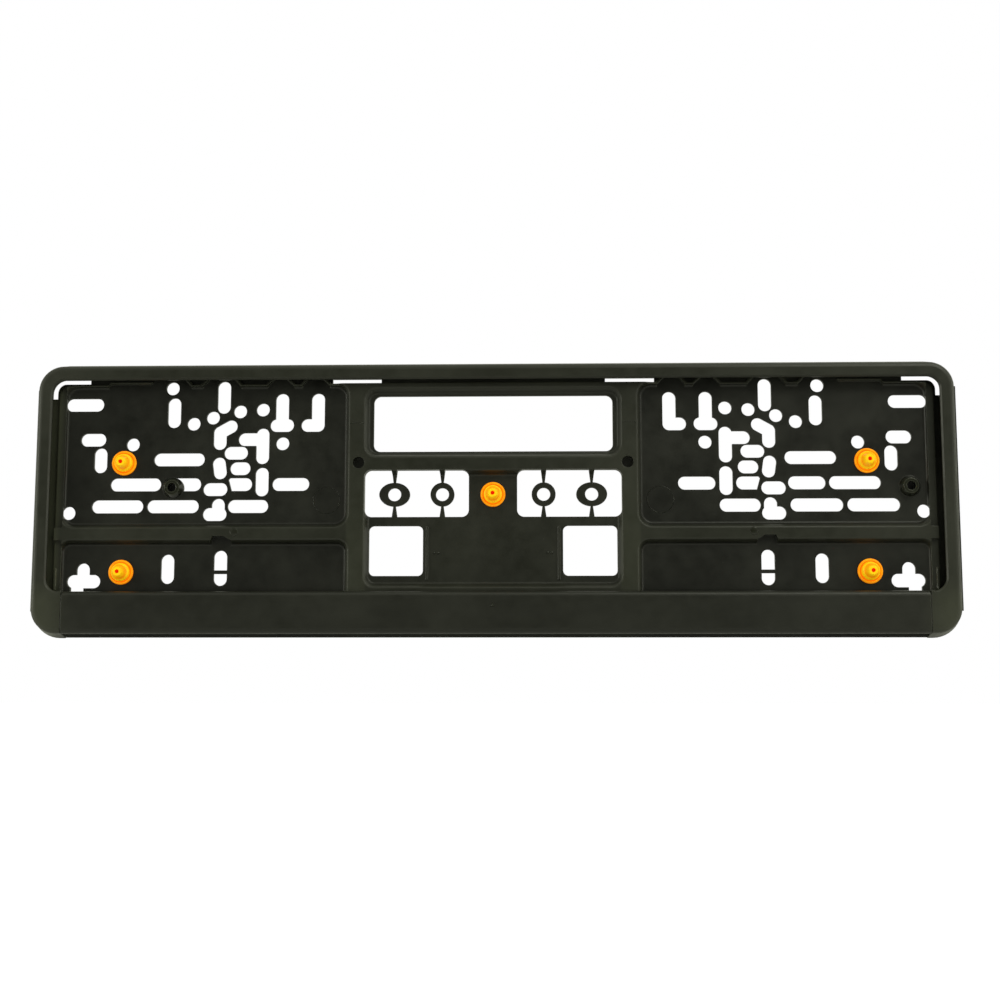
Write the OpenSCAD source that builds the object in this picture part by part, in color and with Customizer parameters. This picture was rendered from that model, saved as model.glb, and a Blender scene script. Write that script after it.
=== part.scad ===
// Number plate holder: a thin moulded frame with a clip-on cover strip and five soft buffers.
// X runs along the plate, Z is up. The side that lies on the car is the plane Y = 0 and the front faces -Y.
// The origin is at the middle of the number plate.

/* [Plate] */
// width of the number plate that the holder takes
plate_w = 504; // [480:1:524]
// height of the number plate
plate_h = 120; // [110:1:126]
// room between the plate and the recess wall at each short edge
end_room = 0.3; // [0.2:0.1:1]
// room above the plate, used to tilt it in
tilt_room = 1.8; // [1:0.1:3]
// how far the rim covers each short edge of the plate
end_cover = 3; // [1:0.5:4]
// how far the rim and the strip cover the long edges
long_cover = 0.4; // [0.2:0.1:1]

/* [Rim] */
// front to back size of the whole holder
depth = 12; // [10:0.5:16]
// width of the rim above the opening, at its back edge
rim_top = 10.8; // [9:0.1:14]
// width of the rim beside the opening, at its back edge
rim_side = 10.6; // [9:0.1:14]
// outer corner radius at the back edge
back_r = 16.4; // [14:0.1:18]
// corner radius of the opening
opening_r = 7; // [5:0.5:10]
// how far the outer wall leans out from front to back
lean = 2.2; // [0:0.1:3]
// corner radius of the recess that the plate lies in
recess_r = 8; // [6:0.5:10]
// rounding of the outer front edge
edge_r = 3; // [2:0.5:4]
// chamfer on the inner front edge
inner_chamfer = 1; // [0.3:0.1:1.2]
// wall thickness of rim and strip
wall = 1.8; // [1.5:0.1:2.5]
// how far the side skirts stand out from the plate's short edges
skirt_out = 8; // [7:0.5:12]
// how far the side skirts reach forward from the car side
skirt_d = 3; // [2:0.5:6]
// how far the side skirts run on past the straight sides
skirt_over = 1.5; // [0:0.5:3]

/* [Floor and raised parts] */
// thickness of the floor panels
floor_t = 2; // [1.6:0.1:3]
// height of the raised bars and rails above the car side
seat_h = 6; // [4:0.5:8]
// height of the lower ledges along the sides and the top
ledge_h = 4.2; // [3:0.1:5]
// sideways run of the sloped steps between floor and raised parts
slope_run = 2.2; // [1:0.1:4]
// sideways run of the steep steps below the outer ledges
steep_run = 0.6; // [0.3:0.1:1]
// size of the roundings at the top and the foot of the steps
edge_ease = 0.8; // [0.3:0.1:1.2]
// thickness of the side ledges' front where a hole runs under them
ledge_skin = 1; // [0.8:0.1:2]
// corner radius of the upper pockets' floor
pocket_r = 6; // [4:0.5:8]
// corner radius of the floor round the large window
window_pocket_r = 5; // [4:0.5:8]
// corner radius of the lower pockets' floor
low_pocket_r = 4; // [3:0.5:6]
// gutter between the recess wall and the raised ledge at the sides
side_gutter = 5; // [3:0.1:6]
// gutter between the recess wall and the raised ledge at the top
top_gutter = 3.4; // [3:0.1:5]
// inner edge of each upright bar, from the middle
bar_x = 72.4; // [70:0.1:76]
// width of each upright bar
bar_w = 8.8; // [7:0.1:12]
// top edge of the long rails above the plate's lower edge
rail_rise = 36.4; // [34:0.1:40]
// height of the long rails
rail_h = 7.1; // [5:0.1:10]
// top edge of the short rail between the window and the washers
mid_rail_z = 16.2; // [14:0.1:19]
// height of the short rail
mid_rail_h = 7.8; // [6:0.1:10]
// how far the raised ledge at the sides reaches in from the plate's short edge
ledge_in = 9; // [8:0.1:12]
// how far the raised ledge at the top reaches down from the plate's upper edge
ledge_drop = 2.6; // [2.5:0.1:6]
// how far that ledge reaches down above the window
window_ledge_drop = 4.6; // [4:0.1:6]
// how far the narrow ledge in the middle shows above the plate's lower edge
foot_ledge_rise = 2.8; // [1:0.1:6]
// how far the raised parts run on below the plate's lower edge, behind the strip
raised_reach = 5; // [3:0.5:5]

// height of the thin ridges on the floor and on the side ledges
ridge_h = 0.6; // [0.3:0.1:1]
// thickness of those ridges
ridge_t = 1.2; // [0.8:0.1:2]
// distance of the floor's ridges from the middle
ridge_x = 37; // [34:0.5:38]
// height of the middle of those ridges
ridge_z = -38; // [-40:1:-36]
// length of those ridges
ridge_len = 30; // [20:1:34]
// distance of the side ledges' ridges from the plate's short edge
side_ridge_in = 5.7; // [5.5:0.1:8]
// height of the middle of those ridges
side_ridge_z = -52.5; // [-53:0.5:-40]
// length of those ridges
side_ridge_len = 12; // [10:1:20]

/* [Slots and windows] */
// width of the fixing slots and diameter of the round fixing holes
slot_w = 7.5; // [6:0.1:9]
// half width of the large window
window_x = 67.6; // [60:0.1:68]
// lower edge of the large window
window_low = 19.5; // [18:0.1:22]
// distance of the large window from the plate's upper edge
window_drop = 8.6; // [7:0.1:12]
// corner radius of the windows
window_r = 4; // [2:0.5:6]
// inner edge of each washer window
washer_in = 13.6; // [10:0.1:20]
// outer edge of each washer window
washer_out = 72.4; // [65:0.1:73]
// lower edge of the washer windows
washer_low = -17.6; // [-20:0.1:-14]
// upper edge of the washer windows
washer_top = 8.9; // [6:0.1:10]
// height of the break-off washers' middle
washer_z = -4.9; // [-8:0.1:-2]
// distance of the round washers from the middle
washer_x = 28.5; // [26:0.5:32]
// distance of the oval washers from the middle
oval_x = 55.5; // [50:0.5:58]
// diameter of the round washers and height of the oval ones
washer_d = 13.5; // [11:0.1:16]
// width of the oval washers
oval_w = 17.4; // [14:0.1:20]
// bore of the washers
washer_bore = 7.4; // [5:0.1:9]
// width of a washer's tab where it joins the frame
tab_root = 3.4; // [2:0.1:5]
// width of a washer's tab where it breaks off
tab_tip = 1.2; // [0.8:0.1:2]
// inner edge of the plain lower windows
low_window_in = 39.3; // [36:0.1:42]
// outer edge of the plain lower windows
low_window_out = 69.7; // [66:0.1:70]
// lower edge of the plain lower windows
low_window_low = -50.8; // [-53:0.1:-46]
// upper edge of the plain lower windows
low_window_top = -22.7; // [-26:0.1:-21]
// corner radius of the plain lower windows
low_window_r = 3; // [2:0.5:5]
// width of the web that divides one slot in each lower panel
web = 2; // [1.5:0.1:3]
// height of that web's middle
web_z = -48.5; // [-50:0.1:-46]
// width of the thin slits at the foot of the rim
slit_w = 2.6; // [2:0.1:3]
// distance of the long slits from the recess wall
slit_drop = 0.4; // [0:0.1:0.6]
// width of the upright part of the slit round each upper corner
side_slit_w = 3.2; // [2:0.1:4]
// inner end of the long slit in the top gutter
slit_in = 63.5; // [60:0.5:70]
// outer end of that slit
slit_out = 91.3; // [85:0.1:92]
// inner end of the slit round each upper corner, from the plate's short edge
corner_slit_in = 21.7; // [16:0.1:26]
// lower end of that slit, from the plate's upper edge
corner_slit_drop = 9.4; // [8:0.1:14]
// diameter of the blind recess in each upright bar
blind_d = 6.6; // [5:0.1:7]

/* [Buffers and posts] */
// distance of the outer buffers from the plate's short edges
buffer_in = 42.5; // [37:0.5:52]
// height of the upper outer buffers
buffer_high = 13.5; // [10:0.5:16]
// height of the lower outer buffers above the plate's lower edge
buffer_rise = 11.5; // [10:0.5:16]
// height of the middle buffer
buffer_mid = -5; // [-8:0.5:-2]
// diameter of a buffer's flange
buffer_d = 14.2; // [12:0.1:16]
// height of a buffer above the floor
buffer_h = 8.5; // [6:0.5:9]
// thickness of a buffer's flange
flange_t = 1.2; // [0.8:0.1:2]
// width of a buffer's lower step at its foot
step_d = 11.6; // [10:0.1:12]
// height of a buffer's lower step
step_h = 2.6; // [2:0.1:3.5]
// width of a buffer's upper step at its foot
cone_d = 8.6; // [8:0.1:9.5]
// width of a buffer's tip
tip_d = 5; // [4:0.1:7]
// bore in a buffer's tip
tip_bore = 2.2; // [1.5:0.1:3]
// diameter of a buffer's neck
neck_d = 5.4; // [4:0.1:7]
// diameter of a buffer's head at the back
head_d = 8.4; // [7:0.1:10]
// thickness of a buffer's head
head_t = 0.8; // [0.5:0.1:1]
// clearance round necks, heads and clips
clear = 0.3; // [0.2:0.1:0.5]
// width across the foot of a moulded post
post_d = 11.9; // [9:0.1:13]
// width across the top of a moulded post
post_tip = 8.4; // [7:0.1:9]
// height of a moulded post above the floor
post_h = 3.8; // [2:0.1:6]
// blind bore of a moulded post
post_bore = 5; // [3:0.1:6]

/* [Cover strip] */
// height of the cover strip
strip_h = 23.6; // [20:0.1:30]
// how far the corner blocks reach in from the plate's short edges
seam_in = 11.8; // [10:0.1:16]
// rounding of the strip's upper front edge
strip_r = 3; // [2:0.5:4]
// number of clips on each half of the strip
clips = 3; // [2:1:4]
// distance between clips
clip_pitch = 70; // [50:1:80]
// width of a clip
clip_w = 8; // [6:0.5:12]
// height of the clips' middle above the strip's lower edge
clip_rise = 11.2; // [11:0.1:12]
// height of the ledge that the clips hook into
clip_ledge_h = 12; // [10:0.5:14]
// height of the hollow behind that ledge where a clip's barb spreads
clip_room_h = 8; // [7:0.5:9]

/* [Hidden] */
$fn = 32;
cut = 1;
// steps in a millimetre of the fine grid on which stretches built apart meet
grid = pow(2, 20);

opening_x = plate_w / 2 - end_cover;
opening_top = plate_h / 2 - long_cover;
opening_low = -plate_h / 2 + long_cover;
recess_x = plate_w / 2 + end_room;
recess_top = plate_h / 2 + tilt_room;
recess_low = opening_low - wall;
bottom = opening_low - strip_h;
face_r = back_r - lean - edge_r;
inner_x = on_grid(opening_x - opening_r);
inner_top = on_grid(opening_top - opening_r);
corner_x = on_grid(opening_x + rim_side - back_r);
corner_top = on_grid(opening_top + rim_top - back_r);
corner_low = on_grid(bottom + back_r - lean);
base_low = bottom - lean;
inner_low = on_grid(opening_low + opening_r);
gutter_x = recess_x - side_gutter;
gutter_top = recess_top - top_gutter;
skirt_x = plate_w / 2 + skirt_out;
ledge_x = plate_w / 2 - ledge_in;
ledge_z = plate_h / 2 - ledge_drop;
window_ledge_z = plate_h / 2 - window_ledge_drop;
foot_ledge_z = foot_ledge_rise - plate_h / 2;
raised_low = -plate_h / 2 - raised_reach;
rail_z = rail_rise - plate_h / 2;
rail_low = rail_z - rail_h;
side_ridge_x = plate_w / 2 - side_ridge_in;
window_top = plate_h / 2 - window_drop;
corner_slit_x = plate_w / 2 - corner_slit_in;
corner_slit_z = plate_h / 2 - corner_slit_drop;
slit_top = recess_top - slit_drop;
buffer_x = plate_w / 2 - buffer_in;
buffer_low = buffer_rise - plate_h / 2;
seam_x = on_grid(plate_w / 2 - seam_in);
clip_z = bottom + clip_rise;
// distance between the ribs in the rim's top, and the outermost one's distance from the middle
rib_pitch = 60;
rib_last = (floor(corner_x / rib_pitch - 0.5) + 0.5) * rib_pitch;
// how far a clip's barb reaches under the ledge that it hooks into
barb = 0.8;
// how much narrower a slanted slot's straight sides are than its round ends
slant_ease = 0.02;
// where the barb's shoulder stops
clip_stop = clear + floor_t - seat_h;

// fixing holes of one half: [distance from the middle, height]
ROUND_HOLES = [[183, 56.5], [131, 44], [144, 43], [159.5, 39.5], [170.5, 36], [119.5, 24.5], [205, 24.2],
  [240.5, -15]];
// level slots of one half: [distance from the middle, height, length]
LEVEL_SLOTS = [[233.2, 47.2, 21.6], [227.8, 27, 14.5], [178.3, 15.5, 29], [202.8, 1.2, 29], [176, 1.2, 21],
  [157.4, -1.6, 13.8], [146, 19.2, 13.5], [143.4, 10.3, 11.6], [114.5, 1.2, 21], [212.9, -11.3, 29.5],
  [181.3, -11.3, 29.5], [138.6, -11.3, 23]];
// upright slots of one half: [distance from the middle, height, length]
UPRIGHT_SLOTS = [[153.4, 51.2, 18.6], [181.8, 42.4, 17.3], [223.3, 15.1, 14.3], [130.9, 2.6, 16.4],
  [183.3, -46.8, 16.5]];
// bent slots of one half, each a path of [distance from the middle, height]
BENT_SLOTS = [
  [[105.3, 35], [99.5, 35], [99.5, 49.6]],
  [[123, 35], [117, 35]],
  [[120, 35], [120, 49.6]],
  [[155.3, 24.8], [155.3, 31], [149.2, 34.4]],
  [[130.9, 16.6], [130.9, 29.6]],
  [[130.9, 27], [141, 27]],
  [[155.5, 13], [154.8, 8]],
  [[155.5, -10.6], [155.5, -15.8]],
  [[160.5, -15.8], [154.4, -15.8]],
  [[231.1, -47.2], [231.1, -53.7]],
  [[236.5, -53.7], [225, -53.7]],
  [[234.4, -53.7], [234.4, -64]]
];
// slot in each lower panel that a web divides: [distance from the middle, height, length]
SPLIT_SLOT = [153.4, -46.3, 19.8];
// outline of the short slot with one slanted end, one half, and its round end's middle
CLIPPED_SLOT = [[140.25, -2.55], [148.15, -2.55], [149.95, 3.95], [149.15, 4.95], [140.25, 4.95]];
CLIPPED_END = [140.25, 1.2];
// notch in the rail above that slot: [distance from the slot, height above the rail's lower edge]
NOTCH = [[-6.1, -4], [-6.1, 0], [-2, 2.3], [4.2, 2.3], [5, 0], [5, -4]];
// the two moulded posts: [distance to the right, height]
POSTS = [[-181.3, -0.8], [plate_w / 2 - 19, -1]];

// tongues of the top ledge, one half: [outer end at the wall, outer end, inner end, inner end at the wall]
TONGUES = [[176, 172, 165.5, 161.5], [147.5, 143.5, 128.5, 124], [118, 113, 108.5, 105], [97, 92.5, 0, 0]];
// how far from the middle the top ledge keeps the bars' full height
seat_end = TONGUES[3][1];
// where the outermost stretch of the top ledge steps up and where it ends
STEP_X = 219;
STEP_END = 195;
// width of the thin ribs that close the tongues
RIB_W = 1.8;
// rise and slant of that outermost step
STEP_RISE = 1.6;
STEP_SLANT = 2.5;

// hollows in the back of the bars and rails, one half: [x from, x to, z from, z to, number along x, along z]
HOLLOWS = [
  [bar_x + 1, bar_x + bar_w - 1, -55, 5, 1, 4],
  [bar_x + 1, bar_x + bar_w - 1, 21, 53, 1, 2],
  [87, 145, rail_low + 1, rail_z - 1, 2, 1],
  [161, ledge_x - 7, rail_low + 1, rail_z - 1, 3, 1],
  [0, 66, mid_rail_z - mid_rail_h + 1, mid_rail_z - 1, 3, 1]
];

function on_grid(v) = round(v * grid) / grid;
function between(a, b, t) = a + (b - a) * t;
function turned(r, a) = [r * cos(a), r * sin(a)];
function arc(cx, cy, r, a0, a1, n) = [for (i = [0:n]) [cx, cy] + turned(r, between(a0, a1, i / n))];
function oval(a, b) = [for (t = [0:7.5:352.5]) [a * cos(t), b * sin(t)]];
function toward(a, b, d) = a + (b - a) * d / norm(b - a);
// three points that round the corner b between a and c
function eased(a, b, c, d) = let (p = toward(b, a, d), q = toward(b, c, d)) [p, (p + 2 * b + q) / 4, q];

// extrudes a plan drawn in X and Z from depth y0 (front) to y1 (back)
module plan(y0, y1) translate([0, y1, 0]) rotate([90, 0, 0]) linear_extrude(y1 - y0) children();

// does the same thing on both halves
module both() {
  children();
  mirror([1, 0, 0]) children();
}

// rectangle with round corners, in the plan
module panel(x0, x1, z0, z1, r) {
  translate([x0 + r, z0]) square([x1 - x0 - 2 * r, z1 - z0]);
  translate([x0, z0 + r]) square([x1 - x0, z1 - z0 - 2 * r]);
  for (x = [x0 + r, x1 - r], z = [z0 + r, z1 - r]) translate([x, z]) circle(r);
}

// straight stretch of a slot between two points, a hair narrower than its round ends where it slants
module stretch(a, b, w) {
  side = a[0] == b[0] || a[1] == b[1] ? w : w - slant_ease;
  slant = atan2(b[1] - a[1], b[0] - a[0]);
  translate(a) circle(d = w);
  if (a != b) {
    translate(b) circle(d = w);
    translate(a) rotate(slant) translate([0, -side / 2]) square([norm(b - a), side]);
  }
}

module bent_slot(path, w) for (i = [0:len(path) - 2]) stretch(path[i], path[i + 1], w);

// carries a section of [distance outwards, y] along one straight side or round one corner
module along_z(x, z0, z1, section) translate([x, 0, z0]) linear_extrude(z1 - z0) polygon(section);

module along_x(z, x0, x1, section)
  translate([x1, 0, z]) rotate([0, -90, 0]) linear_extrude(x1 - x0) polygon(section);

module round_corner(x, z, start, section)
  translate([x, 0, z]) rotate([90, 0, 0]) rotate([0, 0, start]) rotate_extrude(angle = 90)
    polygon([for (p = section) [p[0], -p[1]]]);

// pocket with sloped sides between the raised level and the floor
module pocket(x0, x1, z0, z1, r) {
  edge = r + slope_run;
  foot = [r, -floor_t];
  head = [edge, -seat_h];
  rim = [edge + edge_ease, -seat_h];
  section = concat([[0, -floor_t]], eased([0, -floor_t], foot, head, edge_ease),
    eased(foot, head, rim, edge_ease), [rim - [0, cut], [0, -seat_h - cut]]);
  left = on_grid(x0 + r);
  right = on_grid(x1 - r);
  low = on_grid(z0 + r);
  high = on_grid(z1 - r);
  plan(-seat_h - cut, -floor_t) square_between(left - cut, right + cut, low - cut, high + cut);
  along_z(right, low, high, section);
  translate([left, 0, 0]) mirror([1, 0, 0]) along_z(0, low, high, section);
  along_x(high, left, right, section);
  translate([0, 0, low]) mirror([0, 0, 1]) along_x(0, left, right, section);
  round_corner(right, high, 0, section);
  round_corner(left, high, 90, section);
  round_corner(left, low, 180, section);
  round_corner(right, low, 270, section);
}

module square_between(x0, x1, z0, z1) translate([x0, z0]) square([x1 - x0, z1 - z0]);

// outer wall of the rim with its rounded front edge
function outer_section() = concat(
  [[back_r, 0]],
  arc(face_r, edge_r - depth, edge_r, 0, -90, 4),
  [[face_r - cut, -depth], [face_r - cut, wall - depth], [face_r, wall - depth],
    [back_r - lean - wall, edge_r - depth], [back_r - wall, 0]]);

module outer_wall() {
  both() {
    along_z(corner_x, corner_low, corner_top, outer_section());
    round_corner(corner_x, corner_top, 0, outer_section());
    round_corner(corner_x, corner_low, 270, outer_section());
    translate([0, 0, corner_low]) mirror([0, 0, 1]) along_x(0, seam_x, corner_x, outer_section());
    plan(-skirt_d, 0)
      square_between(corner_x + back_r - wall, skirt_x, corner_low - skirt_over, corner_top + skirt_over);
  }
  along_x(corner_top, -corner_x, corner_x, outer_section());
}

module opening_plan() panel(-opening_x, opening_x, opening_low, opening_top, opening_r);

module strip_bay() square_between(-seam_x, seam_x, base_low - cut, inner_low - opening_r);

// flat front of the rim and of the two lower corner blocks
module rim_face() plan(-depth, wall - depth) difference() {
  panel(-corner_x - face_r, corner_x + face_r, corner_low - face_r, corner_top + face_r, face_r);
  opening_plan();
  strip_bay();
}

module chamfer_cut() {
  section = [[opening_r - cut, -depth - cut], [opening_r + inner_chamfer + cut, -depth - cut],
    [opening_r - cut, inner_chamfer + cut - depth]];
  both() {
    along_z(inner_x, inner_low, inner_top, section);
    round_corner(inner_x, inner_top, 0, section);
    round_corner(inner_x, inner_low, 270, section);
  }
  along_x(inner_top, -inner_x, inner_x, section);
}

module recess_plan(grow) {
  x = recess_x + grow;
  r = recess_r + grow;
  square_between(-x, x, recess_low - grow, recess_top + grow - r);
  square_between(-x + r, x - r, 0, recess_top + grow);
  for (s = [-1, 1]) translate([s * (x - r), recess_top + grow - r]) circle(r);
}

// wall that the plate's edges face, with the strip's bay left open
module recess_wall() plan(-depth + wall / 2, 0) difference() {
  recess_plan(wall);
  recess_plan(0);
  square_between(-seam_x, seam_x, bottom, 0);
}

// closes each lower corner block towards the strip
module block_end() translate([seam_x, 0, 0]) rotate([90, 0, 90]) linear_extrude(wall)
  polygon([[0, base_low + wall], [edge_r - depth, bottom + wall],
    [wall / 2 - depth, corner_low - opening_r], [wall / 2 - depth, recess_low], [0, recess_low]]);

// thin ribs across the hollow back of the rim
module rim_ribs() {
  half = wall / 2;
  outer = back_r - lean - half;
  for (x = [-rib_last:rib_pitch:rib_last]) plan(half - depth, -wall)
    square_between(x - half, x + half, recess_top + half, corner_top + outer);
  both() for (z = [inner_low, 0, inner_top]) plan(half - depth, -wall)
    square_between(recess_x + half, corner_x + outer, z - half, z + half);
}

module floor_plate() plan(-floor_t, 0) {
  recess_plan(wall / 2);
  square_between(-seam_x - wall / 2, seam_x + wall / 2, base_low + clear, 0);
}

// gutters along the rim: the ledge stands clear of the recess wall, apart from the tongues' closing ribs
module gutter_plan() {
  difference() {
    recess_plan(0);
    square_between(-gutter_x, gutter_x, bottom, gutter_top - opening_r);
    square_between(-gutter_x + opening_r, gutter_x - opening_r, 0, gutter_top);
    for (s = [-1, 1]) translate([s * (gutter_x - opening_r), gutter_top - opening_r]) circle(opening_r);
    square_between(-STEP_X, STEP_X, 0, recess_top + cut);
  }
  for (s = [-1, 1]) scale([s, 1]) step_gutter();
  for (t = TONGUES) both_plan() tongue_gutter(t);
}

module both_plan() {
  children();
  mirror([1, 0]) children();
}

// the outer stretch's gutter is narrower beyond its step
module step_gutter() {
  raised = recess_top - RIB_W;
  polygon([[STEP_X + 1, gutter_top], [STEP_X - 1, raised], [STEP_END - 1, raised],
    [STEP_END - STEP_SLANT, recess_top], [STEP_X + 1, recess_top]]);
}

function end_at(top, low, z) = between(low, top, (z - ledge_z) / (recess_top - ledge_z));

module tongue_gutter(t) polygon([
  [t[0] - RIB_W, recess_top], [end_at(t[0], t[1], gutter_top) - RIB_W, gutter_top],
  [t[2] == 0 ? 0 : end_at(t[3], t[2], gutter_top) + RIB_W, gutter_top],
  [t[3] == 0 ? 0 : t[3] + RIB_W, recess_top]]);

// notches where the floor runs up to the rim, between the tongues
module notch_plan() {
  foot_z = ledge_z - steep_run - cut;
  for (i = [0:len(TONGUES) - 2]) {
    a = TONGUES[i];
    b = TONGUES[i + 1];
    polygon([[a[2], foot_z], [a[2], ledge_z], [a[3], recess_top], [b[0], recess_top], [b[1], ledge_z],
      [b[1], foot_z]]);
  }
  first = TONGUES[0];
  polygon([[STEP_X + 1, foot_z], [STEP_X + 1, ledge_z], [STEP_X - 1, ledge_z + STEP_RISE],
    [STEP_END, ledge_z + STEP_RISE], [STEP_END - STEP_SLANT, recess_top], [first[0], recess_top],
    [first[1], ledge_z], [first[1], foot_z]]);
}

// lower ledges round the outside with steep inner edges
module ledge_plan() difference() {
  recess_plan(0);
  square_between(-ledge_x, ledge_x, bottom, ledge_z);
  square_between(-recess_x, recess_x, bottom, raised_low);
}

// everything at the full height before the pockets are cut: the rails run out over the side ledges
module raised_plan() difference() {
  recess_plan(0);
  square_between(-recess_x, recess_x, bottom, raised_low);
  difference() {
    ledge_plan();
    square_between(-recess_x, recess_x, rail_low, rail_z);
    square_between(-seat_end, seat_end, 0, recess_top);
  }
}

// raised ledges, bars and rails, left over between the pockets
module raised_parts() difference() {
  union() {
    difference() {
      plan(-seat_h, 0) raised_plan();
      pockets();
    }
    plan(-ledge_h, -floor_t / 2) ledge_plan();
  }
  plan(-seat_h - cut, -floor_t) {
    gutter_plan();
    both_plan() notch_plan();
    both_plan() translate([SPLIT_SLOT[0], rail_low]) polygon(NOTCH);
  }
}

// front of the side ledges, closed over the holes that run under them
module closed_ledges() plan(-ledge_h, ledge_skin - ledge_h)
  both_plan() square_between(ledge_x, gutter_x, rail_z, gutter_top - opening_r);

module pockets() {
  inner_end = bar_x + bar_w + slope_run;
  outer_end = ledge_x - steep_run;
  half = bar_x - slope_run;
  both() {
    pocket(inner_end, outer_end, rail_z + slope_run, ledge_z - steep_run, pocket_r);
    pocket(inner_end, outer_end, bottom, rail_low - slope_run, low_pocket_r);
  }
  pocket(-half, half, mid_rail_z + slope_run, window_ledge_z - slope_run, window_pocket_r);
  pocket(-half, half, foot_ledge_z + slope_run, mid_rail_z - mid_rail_h - slope_run, low_pocket_r);
}

// straight slot [distance from the middle, height, length] along a direction
module slot(s, direction) {
  reach = direction * (s[2] - slot_w) / 2;
  stretch([s[0], s[1]] - reach, [s[0], s[1]] + reach, slot_w);
}

module slot_plan() {
  for (h = ROUND_HOLES) translate(h) circle(d = slot_w);
  for (s = LEVEL_SLOTS) slot(s, [1, 0]);
  for (s = UPRIGHT_SLOTS) slot(s, [0, 1]);
  for (path = BENT_SLOTS) bent_slot(path, slot_w);
  translate(CLIPPED_END) circle(d = slot_w);
  polygon(CLIPPED_SLOT);
  difference() {
    slot(SPLIT_SLOT, [0, 1]);
    square_between(SPLIT_SLOT[0] - slot_w, SPLIT_SLOT[0] + slot_w, web_z - web / 2, web_z + web / 2);
  }
}

// break-off washers stand in their window on thin tabs
module washer_plan() difference() {
  panel(washer_in, washer_out, washer_low, washer_top, window_r);
  washer(washer_x, washer_d);
  washer(oval_x, oval_w);
}

module washer(x, w) translate([x, washer_z]) {
  if (w == washer_d) circle(d = w);
  else polygon(oval(w / 2, washer_d / 2));
  tab(washer_top - washer_z);
  mirror([0, 1]) tab(washer_z - washer_low);
}

module tab(reach) {
  start = (washer_d - tab_tip) / 2;
  polygon([[-tab_tip / 2, start], [tab_tip / 2, start], [tab_root / 2, reach + cut],
    [-tab_root / 2, reach + cut]]);
}

module through_plan() {
  panel(-window_x, window_x, window_low, window_top, window_r);
  both_plan() {
    slot_plan();
    washer_plan();
    for (x = [washer_x, oval_x]) translate([x, washer_z]) circle(d = washer_bore);
    panel(low_window_in, low_window_out, low_window_low, low_window_top, low_window_r);
    square_between(slit_in, slit_out, slit_top - slit_w, slit_top);
    corner_slit();
  }
}

// slit that follows the corner at the foot of the rim
module corner_slit() difference() {
  intersection() {
    recess_plan(0);
    square_between(corner_slit_x, recess_x, corner_slit_z, recess_top);
  }
  square_between(0, recess_x - side_slit_w, 0, recess_top - recess_r);
  square_between(0, recess_x - recess_r, 0, recess_top - slit_w);
  translate([recess_x - recess_r, recess_top - recess_r])
    polygon(oval(recess_r - side_slit_w, recess_r - slit_w));
}

function buffer_places() = [[-buffer_x, buffer_high], [-buffer_x, buffer_low], [0, buffer_mid],
  [buffer_x, buffer_high], [buffer_x, buffer_low]];

// round hole for a buffer's neck with a seat for its head at the back
module buffer_seats() for (p = buffer_places()) translate([p[0], 0, p[1]]) rotate([90, 0, 0]) {
  translate([0, 0, -cut]) cylinder(h = floor_t + 2 * cut, d = neck_d + 2 * clear);
  translate([0, 0, -cut]) cylinder(h = floor_t / 2 + cut, d = head_d + 2 * clear);
}

// hollow backs of bars and rails, with ribs left between them
module back_hollows() both() for (h = HOLLOWS, i = [0:h[4] - 1], j = [0:h[5] - 1]) plan(wall - seat_h, cut)
  square_between(between(h[0], h[1], i / h[4]) + RIB_W / 2, between(h[0], h[1], (i + 1) / h[4]) - RIB_W / 2,
    between(h[2], h[3], j / h[5]) + RIB_W / 2, between(h[2], h[3], (j + 1) / h[5]) - RIB_W / 2);

// blind round recess in each upright bar beside the short rail
module blind_holes() both() translate([bar_x + blind_d / 2, -floor_t / 2, mid_rail_z - blind_d / 2])
  rotate([90, 0, 0]) cylinder(h = seat_h, d = blind_d);

function clip_places() = [for (i = [0:clips - 1], s = [-1, 1]) s * (clip_pitch / 2 + i * clip_pitch)];

// raised ledge behind the strip that its clips hook into
module clip_ledge() {
  x = clip_pitch * clips + clip_w;
  difference() {
    plan(-seat_h, 0) square_between(-x, x, clip_z - clip_ledge_h / 2, clip_z + clip_ledge_h / 2);
    for (s = clip_places()) translate([s, 0, clip_z])
      cube([clip_w + 2 * clear, 2 * seat_h + 2 * cut, wall + 2 * clear], center = true);
  }
}

module clip_room() for (s = clip_places()) plan(floor_t - seat_h, cut)
  square_between(s - clip_w, s + clip_w, clip_z - clip_room_h / 2, clip_z + clip_room_h / 2);

// stiffening rib just inside the strip's lower wall
module foot_rib() plan(-seat_h - clear, 0)
  square_between(-seam_x, seam_x, bottom + wall + clear, bottom + 2 * wall + clear);

module post(p) translate([p[0], 0, p[1]]) rotate([90, 0, 0]) {
  cylinder(h = floor_t, d = post_d);
  translate([0, 0, floor_t]) cylinder(h = post_h, d1 = post_d, d2 = post_tip);
}

module post_hole(p) translate([p[0], -floor_t / 2, p[1]]) rotate([90, 0, 0])
  cylinder(h = floor_t + post_h, d = post_bore);

// low ridges on the floor and on the side ledges
module ridges() both() {
  plan(-floor_t - ridge_h, -floor_t / 2) translate([ridge_x, ridge_z])
    square([ridge_t, ridge_len], center = true);
  plan(-ledge_h - ridge_h, -ledge_h / 2) translate([side_ridge_x, side_ridge_z])
    square([ridge_t, side_ridge_len], center = true);
}

module base_frame() color("#2b2b29") difference() {
  union() {
    difference() {
      union() {
        floor_plate();
        raised_parts();
      }
      plan(-seat_h - cut, cut) through_plan();
    }
    closed_ledges();
    outer_wall();
    rim_face();
    recess_wall();
    both() block_end();
    rim_ribs();
    clip_ledge();
    foot_rib();
    ridges();
    for (p = POSTS) post(p);
  }
  chamfer_cut();
  buffer_seats();
  back_hollows();
  blind_holes();
  clip_room();
  for (p = POSTS) post_hole(p);
}

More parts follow.
